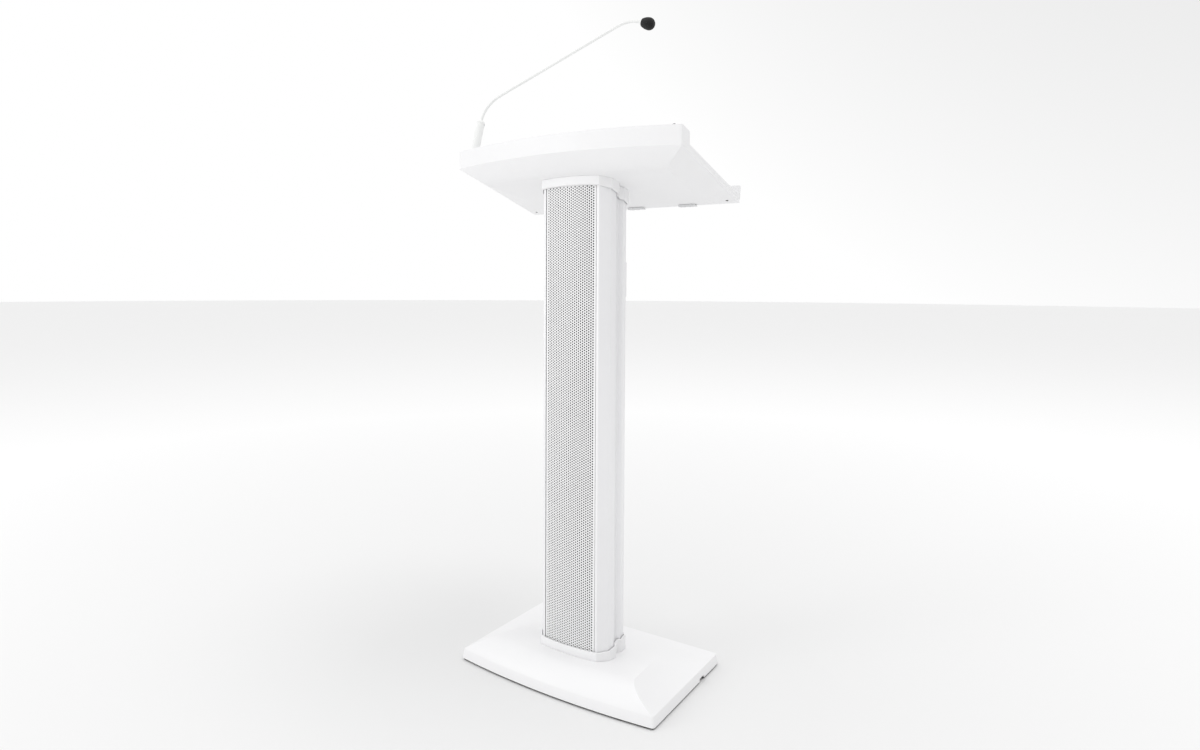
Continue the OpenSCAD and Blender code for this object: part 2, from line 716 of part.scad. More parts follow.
module desk_top_shell() {
    t = desk_wall;
    half = desk_w / 2;
    tray = half - rim_w;
    top_h = stop_z - edge_z(stop_y);
    rear_foot = edge_z(desk_y1) + seam_h + 0.1;
    color("white") placed() difference() {
        union() {
            // floor of the reading tray
            slab(-tray - t, tray + t, step_y - t, stop_y + t, floor_h - t, floor_h);
            // step up to the header, full width
            slab(-half, half, step_y - t, step_y, seam_h + 0.1, fascia_h);
            slab(-tray, tray, step_y - t, step_y, floor_h - t, fascia_h);
            // header plate between the end cheeks
            intersection() {
                slab(-half, half, -80, step_y - t + 0.1, fascia_h - t, fascia_h);
                linear_extrude(far * 2) polygon(desk_ring(t + 0.1, desk_y1));
            }
            // side rims
            for (s = [-1, 1]) {
                x0 = s < 0 ? -half : tray;
                slab(x0, x0 + rim_w, step_y - t, stop_y + t, rim_h - t, rim_h);
                slab(s < 0 ? -half : half - t, s < 0 ? t - half : half,
                     step_y - t, desk_y1, seam_h + 0.1, rim_h);
                slab(s < 0 ? -tray - t : tray, s < 0 ? -tray : tray + t,
                     step_y - t, stop_y + t, floor_h - t, rim_h);
                // end caps of the document stop
                across(s < 0 ? -half : half - t, s < 0 ? t - half : half,
                    [[stop_y, edge_z(stop_y) + seam_h + 0.1], [desk_y1, rear_foot],
                     [stop_rear_y, stop_z], [stop_y, stop_z]]);
            }
            // document stop: front wall, top and rear wall
            across(-half, half, [[stop_y, edge_z(stop_y) + rim_h - t], [stop_y + t,
                edge_z(stop_y) + rim_h - t], [stop_y + t, stop_z], [stop_y, stop_z]]);
            across(-tray, tray, [[stop_y, edge_z(stop_y) + floor_h - t], [stop_y + t,
                edge_z(stop_y) + floor_h - t], [stop_y + t, stop_z], [stop_y, stop_z]]);
            across(-half, half, [[stop_y, stop_z - t], [stop_rear_y - 0.6, stop_z - t],
                [stop_rear_y, stop_z], [stop_y, stop_z]]);
            across(-half, half, [[desk_y1 - t, edge_z(desk_y1 - t) + seam_h + 0.1],
                [desk_y1, rear_foot], [stop_rear_y, stop_z], [stop_rear_y - t, stop_z]]);
        }
        slab(-tray, tray, stop_y - groove_w, stop_y, floor_h - groove_drop, floor_h + 1);
        for (x = [-socket_x, socket_x]) on_header(x) {
            translate([0, 0, -10]) cylinder(r = socket_r + 0.2, h = 20);
            tab_block(sign(x), tab_fit + 1.3, -10, 20);
        }
    }
}

module desk_screws() {
    color("black") placed() at_desk_screws() translate([0, 0, -0.6]) cylinder(r = 3.2, h = 3.8);
}

clip_x = [-165, -29, 29, 165];
clip_w = 42;
clip_foot = 1054.6;            // lower side of the clips
module cable_clips() {
    y0 = 226;
    y1 = 242;
    color("lightgray") placed() for (x = clip_x) difference() {
        across(x - clip_w / 2, x + clip_w / 2, [[y0, under(y0) - 0.15], [y1, under(y1) - 0.15],
            [y1, clip_foot], [y0 + 2, clip_foot]]);
        for (dx = [-9, 5])
            translate([x + dx, y0 - 1, clip_foot - 1]) cube([4, y1 - y0 + 2, 2.6]);
    }
}

// ---------- microphone sockets ----------
bore_r = 9.6;                  // bore that takes the plug's 18.6 mm barrel
bore_depth = 13;
socket_r = 10.9;               // outside of the socket's body
tab_x = 15;                    // release tab, outboard of the socket's axis
tab_y = [-8.6, 0.4];
tab_half = 2.5;
tab_fit = 0.2;                 // clearance between a tab and its slot
tab_foot = 1.9;                // depth of a tab in its slot at rest
tab_top = 6.5;                 // height of a tab above the header
tab_travel = 2;
pin_spots = [[-3.9, 0], [3.9, 0], [0, -3.9]];
pin_r = 1.18;

// Block around a release tab on side s, larger than the tab by d all round
module tab_block(s, d, z0, h)
    translate([s * tab_x - tab_half - d, tab_y[0] - d, z0])
        cube([2 * (tab_half + d), tab_y[1] - tab_y[0] + 2 * d, h]);

module xlr_socket(x) {
    s = sign(x);
    slot_z = -tab_foot - tab_travel - 0.3;
    color("silver") placed() on_header(x) difference() {
        union() {
            translate([s * 3 - 15.5, -13, 0]) cube([31, 26, 1.5]);
            translate([0, 0, -bore_depth - 1.8]) cylinder(r = socket_r, h = bore_depth + 2.3);
            tab_block(s, tab_fit + 1.1, slot_z - 1.2, 0.5 - slot_z + 1.2);
        }
        translate([0, 0, -bore_depth]) cylinder(r = bore_r, h = 20);
        tab_block(s, tab_fit, slot_z, 12);
    }
}
module xlr_socket_left() xlr_socket(-socket_x);
module xlr_socket_right() xlr_socket(socket_x);

module xlr_insert(x) {
    color("black") placed() on_header(x) difference() {
        translate([0, 0, -bore_depth]) cylinder(r = 7.6, h = bore_depth - 0.8);
        for (p = pin_spots) translate([p[0], p[1], -12])
            cylinder(r = pin_r + fit, h = 20);
    }
}
module xlr_insert_left() xlr_insert(-socket_x);
module xlr_insert_right() xlr_insert(socket_x);

module release_tab(x) {
    color("black") placed() on_header(x) difference() {
        tab_block(sign(x), 0, -tab_foot, tab_foot + tab_top);
        // rounded upper corners
        for (y = tab_y + [-0.2, 0.2]) translate([sign(x) * tab_x - 5, y, tab_top + 0.4])
            rotate([0, 90, 0]) cylinder(r = 2.2, h = 10);
    }
}
module release_tab_left() release_tab(-socket_x);
module release_tab_right() release_tab(socket_x);

// Leads inside the desk and the column: a round cord through a row of points
CORD_SIDES = 12;
function cord_ring(points, i, r) =
    let (n = len(points), p = points[i],
         a = unit(p - points[max(i - 1, 0)] + (i == 0 ? points[1] - p : [0, 0, 0])),
         b = unit(points[min(i + 1, n - 1)] - p + (i == n - 1 ? p - points[n - 2] : [0, 0, 0])),
         t = unit(a + b), e = unit(cross(t, [0, 1, 0])), f = cross(t, e),
         stretch = 1 / (t * b))
    [for (k = [0 : CORD_SIDES - 1]) let (w = 360 * k / CORD_SIDES,
        q = r * (cos(w) * e + sin(w) * f), side = unit(a - b + [0, 0, 1e-6]))
        p + q + (stretch - 1) * (q * side) * side];
module lead(points, r) loft([for (i = [0 : len(points) - 1]) cord_ring(points, i, r)]);

module internal_leads() {
    color("black") placed() {
        // microphone leads: from each socket through the desk and down the column
        for (s = [-1, 1]) lead([[s * 251, -33.6, 1160.5], [s * 250, -30, 1150],
            [s * 225, -5, 1118.5], [s * 60, 62, 1100], [s * 6, 84, 1098],
            [s * 4, 86.2, 1080], [s * 4, 87, 956.5]], 1.6);
        // mains lead from the inlet up to the transformer
        lead([[0, 92, 383], [0, 86, 392], [0, 84, 500], [0, 84, 523.5]], 2.4);
        // supply lead from the transformer to the amplifier
        lead([[0, 86, 596.5], [0, 86, 790], [0, 83, 805.5]], 2.4);
    }
}

// ---------- microphone ----------
// Position (x, z) and heading of the neck after k joints, in the plane of its bend
function heading(k) = k <= 6 ? k * lower_bend : 6 * lower_bend + (k - 6) * upper_bend;
function span(k) = k == 0 ? 0 : (k == 6 ? rod_len : link_len);
function joint_at(k) = k <= 1 ? [0, 0] :
    joint_at(k - 1) + span(k - 1) * [sin(heading(k - 1)), cos(heading(k - 1))];

// Places children at joint k of the neck, +Z along the piece above that joint
module on_neck(k)
    on_header(-socket_x) translate([0, 0, barrel_len]) rotate([0, 0, neck_turn])
        translate([joint_at(k)[0], 0, joint_at(k)[1]])
            rotate([0, heading(k), 0]) children();

collar_drop = 2.6;             // gap below each ball in which the next piece moves

// Ball on a short stem, centred on z = 0, with its sleeve ending below
module ball_end() {
    translate([0, 0, -collar_drop - 0.5]) cylinder(r = 1.2, h = collar_drop + 0.5);
    sphere(r = ball_r);
}

module mic_plug() {
    color("white") placed() on_header(-socket_x) difference() {
        union() {
            translate([0, 0, -12]) cylinder(r = barrel_r, h = barrel_len - 6 + 12 - collar_drop);
            translate([0, 0, barrel_len - 6 - collar_drop])
                cylinder(r1 = barrel_r, r2 = 4.4, h = 6);
            translate([0, 0, barrel_len]) ball_end();
        }
        translate([0, 0, -13]) cylinder(r = 7.9, h = 16.6);
        translate([0, 0, 3]) cylinder(r = 7, h = 62);
        for (a = [200, 20]) rotate([0, 0, a]) translate([0, 0, a == 20 ? 70 : 46])
            rotate([0, 90, 0]) cylinder(r = 1.9, h = 20);
    }
}

module mic_plug_pins() {
    color("silver") placed() on_header(-socket_x) {
        translate([0, 0, 0.6]) cylinder(r = 7.85, h = 3);
        for (p = pin_spots) translate([p[0], p[1], -11]) cylinder(r = pin_r, h = 12);
    }
}

// Two small screws that clamp the barrel on the neck
module mic_grub_screws() {
    color("black") placed() on_header(-socket_x)
        for (a = [200, 20]) rotate([0, 0, a]) translate([6.5, 0, a == 20 ? 70 : 46])
            rotate([0, 90, 0]) cylinder(r = 1.85, h = 3.4);
}

// One piece of the flexible neck: socket below, ball above
module neck_piece(k, length, r) {
    color("white") placed() on_neck(k) difference() {
        union() {
            translate([0, 0, -1]) cylinder(r = neck_r, h = 5);
            translate([0, 0, 3.5]) cylinder(r = r, h = length - 3.5 - collar_drop);
            translate([0, 0, length]) ball_end();
        }
        sphere(r = ball_r + fit);
    }
}
// Links are numbered upwards: 1 to 5 below the stiff tube and 6 to 8 above it
module neck_link(n) neck_piece(n <= LINKS_LOW ? n : n + 1, link_len, neck_r);
module mic_rod() neck_piece(6, rod_len, 3);

HEAD = 6 + LINKS_UP + 1;       // joint that carries the capsule
module mic_capsule() {
    color("dimgray") placed() on_neck(HEAD) difference() {
        union() {
            translate([0, 0, -1]) cylinder(r = neck_r, h = 9);
            translate([0, 0, 7.9]) cylinder(r1 = 4.4, r2 = 5.6, h = 4);
            translate([0, 0, 11.8]) cylinder(r = 5.6, h = 26);
        }
        sphere(r = ball_r + fit);
    }
}

screen_z0 = 12.5;              // lower edge of the foam windscreen on the capsule
module mic_windscreen() {
    color("black") placed() on_neck(HEAD) rotate_extrude() difference() {
        union() {
            intersection() {
                translate([0, 30]) scale(14) circle(r = 1);
                square([20, 60]);
            }
            polygon([[0, screen_z0], [9.5, screen_z0], [12.4, 23.5], [14, 30], [0, 30]]);
        }
        square([5.9, 38.1]);
        translate([-20, 0]) square([20, 60]);
        square([20, screen_z0]);
    }
}

base_shell();
base_plate();
base_feet();
base_screws();
column_bolts();
base_bracket();
base_collar();
column_front();
column_rear();
speaker_grille();
grille_cloth();
driver_baffle();
driver_baskets();
driver_magnets();
driver_cones();
driver_surrounds();
driver_screws();
top_collar();
top_bracket();
bracket_screws();
control_panel();
panel_screws();
amp_board();
amp_heatsink();
power_transformer();
pot_bodies();
knob_mic_1();
knob_mic_2();
knob_line();
rocker_frame();
power_rocker();
power_lamp();
audio_jacks();
inlet_panel();
mains_inlet();
desk_lower_shell();
desk_top_shell();
desk_screws();
cable_clips();
xlr_socket_left();
xlr_socket_right();
xlr_insert_left();
xlr_insert_right();
release_tab_left();
release_tab_right();
internal_leads();
mic_plug();
mic_plug_pins();
mic_grub_screws();
for (k = [1 : LINKS_LOW + LINKS_UP])
    neck_link(k);
mic_rod();
mic_capsule();
mic_windscreen();
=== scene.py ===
"""White active lectern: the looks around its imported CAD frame.

Metres, +Z up, the audience side is -Y. Y is written as in the CAD source, counted back from
the column's front corners, and row() moves a point into the row's frame.
"""

import json
import math

import bmesh
import bpy
from mathutils import Matrix, Vector, noise
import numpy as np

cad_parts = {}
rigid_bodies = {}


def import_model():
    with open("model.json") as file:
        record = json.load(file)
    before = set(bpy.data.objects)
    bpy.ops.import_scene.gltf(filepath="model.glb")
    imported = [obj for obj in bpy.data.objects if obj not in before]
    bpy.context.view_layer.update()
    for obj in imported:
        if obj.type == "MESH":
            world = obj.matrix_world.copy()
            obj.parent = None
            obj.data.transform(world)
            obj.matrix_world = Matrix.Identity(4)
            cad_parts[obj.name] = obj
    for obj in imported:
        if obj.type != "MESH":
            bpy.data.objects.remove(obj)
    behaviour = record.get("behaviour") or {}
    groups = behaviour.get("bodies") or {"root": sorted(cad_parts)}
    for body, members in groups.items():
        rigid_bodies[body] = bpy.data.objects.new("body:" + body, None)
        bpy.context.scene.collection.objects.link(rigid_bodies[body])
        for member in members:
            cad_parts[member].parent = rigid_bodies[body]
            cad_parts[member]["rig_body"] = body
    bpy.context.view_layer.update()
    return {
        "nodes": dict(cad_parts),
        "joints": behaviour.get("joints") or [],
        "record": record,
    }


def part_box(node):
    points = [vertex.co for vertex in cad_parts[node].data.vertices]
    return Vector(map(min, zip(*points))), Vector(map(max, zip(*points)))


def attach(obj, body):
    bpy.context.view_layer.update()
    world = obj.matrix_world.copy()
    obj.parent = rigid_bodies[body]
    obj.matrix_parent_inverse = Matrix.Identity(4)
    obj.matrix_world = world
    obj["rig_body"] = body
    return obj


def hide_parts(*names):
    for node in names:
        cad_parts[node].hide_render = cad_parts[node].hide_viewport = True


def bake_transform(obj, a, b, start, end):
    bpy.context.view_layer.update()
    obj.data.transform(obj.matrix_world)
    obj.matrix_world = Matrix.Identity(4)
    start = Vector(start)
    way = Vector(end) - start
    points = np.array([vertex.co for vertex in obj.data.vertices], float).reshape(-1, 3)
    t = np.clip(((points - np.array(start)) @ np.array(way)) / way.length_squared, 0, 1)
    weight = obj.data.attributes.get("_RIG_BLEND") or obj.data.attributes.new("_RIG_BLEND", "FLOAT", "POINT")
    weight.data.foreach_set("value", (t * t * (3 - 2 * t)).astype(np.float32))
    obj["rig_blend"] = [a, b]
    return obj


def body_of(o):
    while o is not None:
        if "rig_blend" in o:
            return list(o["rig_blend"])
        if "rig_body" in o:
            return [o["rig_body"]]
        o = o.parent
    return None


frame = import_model()
JOINTS = {j["name"]: j for j in frame["joints"]}

# ---------- driving dimensions, in metres and degrees ----------
COLUMN_FRONT = 0.0805                      # column's front corners ahead of the origin
SLOPE = math.radians(16.156)               # slope of the reading desk
DESK_FRONT_H = 1.180                       # desk's front upper edge above the floor
DESK_Y0, DESK_Y1, DESK_EDGE_Y1 = -0.0416, 0.245, 0.2436
DESK_W, DESK_BOW = 0.5768, 0.024
FASCIA_H, SEAM_H, STEP_Y = 0.0395, 0.0096, -0.0098
DESK_WALL = 0.003
UNDER_Z, UNDER_FALL = 1.1032, math.radians(10.95)
BASE_W, BASE_Y0, BASE_Y1, BASE_BOW = 0.509, -0.072, 0.2385, 0.0162
SKIRT_Z, RIM_Z = 0.004, 0.0255
BASE_TOP_Z, BASE_TOP_FALL = 0.058, math.radians(7.3)
BASE_WALL, RIM_INSET = 0.003, 0.003
BASE_CREST_Y, BASE_CREST_BOW, BASE_CREST_HALF = -0.0562, 0.009, 0.1918
COLUMN_BOW = 0.0071                        # how far the column's front bows out
HOLE_PITCH, HOLE_R, SHEET_T = 0.0057, 0.0019, 0.0012
NECK_R = 0.0033

DESK_UP = Vector((0, math.sin(SLOPE), math.cos(SLOPE)))


def row(x, y, z):
    """A point given with Y counted from the column's front corners, in the row's frame."""
    return Vector((x, y - COLUMN_FRONT, z))


def edge_z(y):
    """Height of the desk's lower side edge."""
    return DESK_FRONT_H - FASCIA_H - math.tan(SLOPE) * (y - DESK_Y0)


# ---------- materials ----------
def new_material(name, colour, roughness, metallic=0.0):
    material = bpy.data.materials.new(name)
    material.use_nodes = True
    shader = material.node_tree.nodes["Principled BSDF"]
    shader.inputs["Base Color"].default_value = (*colour, 1)
    shader.inputs["Roughness"].default_value = roughness
    shader.inputs["Metallic"].default_value = metallic
    return material, material.node_tree, shader


def add(tree, kind, **values):
    """A node with its inputs set by name."""
    node = tree.nodes.new(kind)
    for key, value in values.items():
        node.inputs[key.replace("_", " ")].default_value = value
    return node


def object_coordinates(tree, stretch=(1, 1, 1)):
    coordinates = tree.nodes.new("ShaderNodeTexCoord")
    mapping = add(tree, "ShaderNodeMapping", Scale=stretch)
    tree.links.new(coordinates.outputs["Object"], mapping.inputs["Vector"])
    return mapping.outputs["Vector"]


def ramp(tree, source, low, high, from_low=0.3, from_high=0.7):
    """Maps a texture's value onto a range."""
    node = add(tree, "ShaderNodeMapRange", From_Min=from_low, From_Max=from_high,
               To_Min=low, To_Max=high)
    tree.links.new(source, node.inputs["Value"])
    return node.outputs["Result"]


def grain(tree, vector, scale, detail=3.0):
    node = add(tree, "ShaderNodeTexNoise", Scale=scale, Detail=detail, Roughness=0.55)
    tree.links.new(vector, node.inputs["Vector"])
    return node.outputs["Fac"]


def bump(tree, shader, height, strength, distance):
    node = add(tree, "ShaderNodeBump", Strength=strength, Distance=distance)
    tree.links.new(height, node.inputs["Height"])
    tree.links.new(node.outputs["Normal"], shader.inputs["Normal"])


def tint(tree, shader, factor, dark, light):
    """Colour that wanders between two close tones."""
    mix = tree.nodes.new("ShaderNodeMix")
    mix.data_type = "RGBA"
    mix.inputs["A"].default_value = (*dark, 1)
    mix.inputs["B"].default_value = (*light, 1)
    tree.links.new(factor, mix.inputs["Factor"])
    tree.links.new(mix.outputs["Result"], shader.inputs["Base Color"])


def shade(colour, share):
    return tuple(c * share for c in colour)


def textured(name, colour, roughness, grain_scale, relief, metallic=0.0, spread=0.06,
             variation=0.02, stretch=(1, 1, 1)):
    """A finish with a fine relief, patches of slightly different gloss and a faint tone drift."""
    material, tree, shader = new_material(name, colour, roughness, metallic)
    vector = object_coordinates(tree, stretch)
    patches = grain(tree, vector, 14)
    fine = grain(tree, vector, grain_scale, 2)
    tree.links.new(ramp(tree, patches, roughness - spread, roughness + spread),
                   shader.inputs["Roughness"])
    tint(tree, shader, ramp(tree, patches, 0, 1), shade(colour, 1 - variation), colour)
    bump(tree, shader, fine, 0.25, relief)
    return material


def woven(name, colour, thread):
    """Plain weave of two crossing threads."""
    material, tree, shader = new_material(name, colour, 0.95)
    vector = object_coordinates(tree)
    heights = []
    for direction in ("X", "Z"):
        wave = add(tree, "ShaderNodeTexWave", Scale=1 / (thread * 20), Distortion=0.6, Detail=1.0)
        wave.bands_direction = direction
        tree.links.new(vector, wave.inputs["Vector"])
        heights.append(wave.outputs["Fac"])
    product = tree.nodes.new("ShaderNodeMath")
    product.operation = "MULTIPLY"
    for k, height in enumerate(heights):
        tree.links.new(height, product.inputs[k])
    # painted shade: the tone follows the weave's height, darker in the hollows between the threads
    tint(tree, shader, product.outputs[0], shade(colour, 0.55), colour)
    bump(tree, shader, product.outputs[0], 0.6, thread * 0.4)
    shader.inputs["Sheen Weight"].default_value = 0.2
    return material


def cellular(name, colour, cell):
    """Open-cell foam: pores in a soft skin, painted darker in their hollows and lighter on the raised cells.
    """
    material, tree, shader = new_material(name, colour, 0.92)
    vector = object_coordinates(tree)
    pores = add(tree, "ShaderNodeTexVoronoi", Scale=1 / cell)
    tree.links.new(vector, pores.inputs["Vector"])
    # painted light and shade: the tone follows the relief, lighter on the raised cells and darker in the
    # hollows between them
    tint(tree, shader, ramp(tree, pores.outputs["Distance"], 0, 1, 0.15, 0.6),
         shade(colour, 1.5), shade(colour, 0.5))
    bump(tree, shader, pores.outputs["Distance"], 0.8, cell * -0.5)
    shader.inputs["Sheen Weight"].default_value = 0.1
    shader.inputs["Sheen Roughness"].default_value = 0.6
    shader.inputs["Specular IOR Level"].default_value = 0.2
    return material


WHITE = (0.872, 0.871, 0.878)
MATERIALS = {
    "shell_white": textured("moulded_white", WHITE, 0.42, 1500, 0.00012, variation=0.012),
    "extrusion_white": textured("powder_white", (0.885, 0.884, 0.896), 0.36, 900, 0.00012,
                                variation=0.012),
    "grille_white": textured("grille_paint", (0.9, 0.899, 0.905), 0.4, 1100, 0.0001,
                             variation=0.015),
    # the plate's black also stands in for the shadow gap under the skirt: a real plate, partly painted shade
    "plate_black": textured("plate_black_and_shadow_gap", (0.035, 0.035, 0.036), 0.55, 800, 0.0002),
    "foot_rubber": textured("foot_rubber", (0.025, 0.025, 0.026), 0.8, 500, 0.0003),
    "zinc_steel": textured("zinc_steel", (0.62, 0.63, 0.64), 0.34, 300, 0.0001, 1.0),
    "bracket_steel": textured("bracket_steel", (0.5, 0.51, 0.52), 0.4, 120, 0.00015, 1.0,
                              stretch=(1, 1, 12)),
    "cloth_grey": woven("acoustic_cloth", (0.17, 0.172, 0.175), 0.0011),
    "baffle_board": textured("baffle_paint", (0.03, 0.03, 0.03), 0.75, 350, 0.0003),
    "basket_black": textured("basket_enamel", (0.03, 0.03, 0.031), 0.4, 500, 0.0001),
    "magnet_ferrite": textured("ferrite", (0.06, 0.06, 0.065), 0.6, 260, 0.0002),
    "cone_black": textured("pulp_cone", (0.03, 0.03, 0.03), 0.85, 420, 0.0003),
    "surround_rubber": textured("surround_rubber", (0.02, 0.02, 0.02), 0.5, 400, 0.0001),
    "board_green": textured("solder_mask", (0.02, 0.16, 0.07), 0.3, 220, 0.0001),
    "heatsink_alu": textured("heatsink_aluminium", (0.7, 0.71, 0.72), 0.35, 150, 0.0001, 1.0,
                             stretch=(1, 1, 10)),
    "winding": textured("winding_tape", (0.45, 0.28, 0.05), 0.45, 90, 0.0003,
                        stretch=(1, 6, 1)),
    "black_plastic": textured("black_plastic", (0.022, 0.022, 0.023), 0.38, 1300, 0.0001),
    "lamp_green": textured("lamp_lens", (0.1, 0.5, 0.16), 0.15, 300, 0.00005),
    # painted shade: the clips get a darker white than the shell, the shaded tone they show under the desk's
    # rear edge
    "clip_white": textured("clip_white", (0.74, 0.745, 0.75), 0.35, 900, 0.0001),
    "socket_white": textured("socket_paint", (0.82, 0.825, 0.825), 0.35, 900, 0.0001),
    "lead_black": textured("lead_sheath", (0.02, 0.02, 0.02), 0.6, 500, 0.0001),
    "neck_white": textured("neck_paint", (0.85, 0.857, 0.85), 0.33, 900, 0.00008,
                           variation=0.015),
    "pin_metal": textured("pin_plating", (0.85, 0.75, 0.45), 0.25, 300, 0.00005, 1.0),
    "foam_grey": cellular("windscreen_foam", (0.02, 0.02, 0.0205), 0.0007),
}
SLOT_OF = {s["node"]: s["material_slot"] for s in frame["record"]["subparts"]}
for node_name, cad_node in frame["nodes"].items():
    cad_node.data.materials.clear()
    cad_node.data.materials.append(MATERIALS[SLOT_OF[node_name]])


# ---------- mesh helpers ----------
def finish_piece(bm, name, body, nodes, slot):
    """Makes an object of a mesh, gives it its material and ties it to the frame."""
    mesh = bpy.data.meshes.new(name)
    bmesh.ops.recalc_face_normals(bm, faces=bm.faces)
    bm.to_mesh(mesh)
    bm.free()
    piece = bpy.data.objects.new(name, mesh)
    bpy.context.scene.collection.objects.link(piece)
    mesh.materials.append(MATERIALS[slot])
    if body:
        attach(piece, body)
    if nodes:
        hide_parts(*nodes)
    return piece


def smooth(piece, angle):
    """Smooth shading that keeps edges sharper than the angle."""
    mesh = piece.data
    mesh.polygons.foreach_set("use_smooth", [True] * len(mesh.polygons))
    bm = bmesh.new()
    bm.from_mesh(mesh)
    for edge in bm.edges:
        if len(edge.link_faces) == 2:
            edge.smooth = edge.calc_face_angle(0) < math.radians(angle)
    bm.to_mesh(mesh)
    bm.free()


def bevel(piece, width, segments=3, angle=28):
    """Rounds the edges of a finished mesh."""
    modifier = piece.modifiers.new("edge_round", "BEVEL")
    modifier.width = width
    modifier.segments = segments
    modifier.limit_method = "ANGLE"
    modifier.angle_limit = math.radians(angle)
    modifier.harden_normals = True
    modifier.use_clamp_overlap = True
    smooth(piece, 180)


def softened(node, name, width):
    """The CAD node's shape as a new piece with rounded edges."""
    bm = bmesh.new()
    bm.from_mesh(frame["nodes"][node].data)
    bmesh.ops.remove_doubles(bm, verts=bm.verts, dist=2e-5)
    bmesh.ops.dissolve_limit(bm, angle_limit=math.radians(1.0), verts=bm.verts, edges=bm.edges)
    body = body_of(frame["nodes"][node])[0]
    bevel(finish_piece(bm, name, body, [node], SLOT_OF[node]), width)


def loft(name, rings, body, nodes, slot):
    """Closed skin through a row of equal rings, with a face over each end."""
    bm = bmesh.new()
    rows = [[bm.verts.new(p) for p in ring] for ring in rings]
    n = len(rows[0])
    for lower, upper in zip(rows, rows[1:]):
        for i in range(n):
            bm.faces.new((lower[i], lower[(i + 1) % n], upper[(i + 1) % n], upper[i]))
    bm.faces.new(rows[0])
    bm.faces.new(rows[-1])
    bmesh.ops.remove_doubles(bm, verts=bm.verts, dist=1e-6)
    bmesh.ops.dissolve_degenerate(bm, edges=bm.edges, dist=1e-6)
    return finish_piece(bm, name, body, nodes, slot)


# ---------- outlines of the base and the desk ----------
FRONT_STEPS, CORNER_STEPS, SIDE_STEPS, REAR_STEPS = 20, 10, 14, 8
SKIN_STEPS = 14                            # rings from a bevelled skin's edge to its plane


def curve_corner(p, c, q, t):
    return p * (1 - t) ** 2 + c * 2 * t * (1 - t) + q * t ** 2


def outline(xf, yf, xb, yb, bow, front_r, rear_r, breaks=()):
    """Closed ring of (x, y): bowed front, straight sides and rear, rounded corners.
    Each Y in breaks gets a doubled point on both sides, for a step in height there."""
    c, d = Vector((xf, yf)), Vector((xb, yb))
    along = (d - c).normalized()
    width = xf - front_r
    half = [Vector((width * i / FRONT_STEPS,
                    yf - bow * (1 - (width * i / FRONT_STEPS / xf) ** 2)))
            for i in range(FRONT_STEPS + 1)]
    front_end, side_start, side_end = half[-1], c + along * front_r, d - along * rear_r
    rear_start = Vector((xb - rear_r, yb))
    half += [curve_corner(front_end, c, side_start, i / CORNER_STEPS)
             for i in range(1, CORNER_STEPS + 1)]
    for y in breaks:
        half += [side_start.lerp(side_end, (y - side_start.y) / (side_end.y - side_start.y))] * 2
    first = half[-1].y if breaks else side_start.y
    start = side_start.lerp(side_end, (first - side_start.y) / (side_end.y - side_start.y))
    half += [start.lerp(side_end, i / SIDE_STEPS) for i in range(1, SIDE_STEPS + 1)]
    half += [curve_corner(side_end, d, rear_start, i / CORNER_STEPS)
             for i in range(1, CORNER_STEPS + 1)]
    half += [Vector((rear_start.x * (1 - i / REAR_STEPS), yb)) for i in range(1, REAR_STEPS + 1)]
    return half + [Vector((-p.x, p.y)) for p in reversed(half[1:-1])]


def on_plane(ring, z0, fall):
    """The ring's points on a plane that falls towards +Y."""
    return [row(p.x, p.y, z0 - math.tan(fall) * p.y) for p in ring]


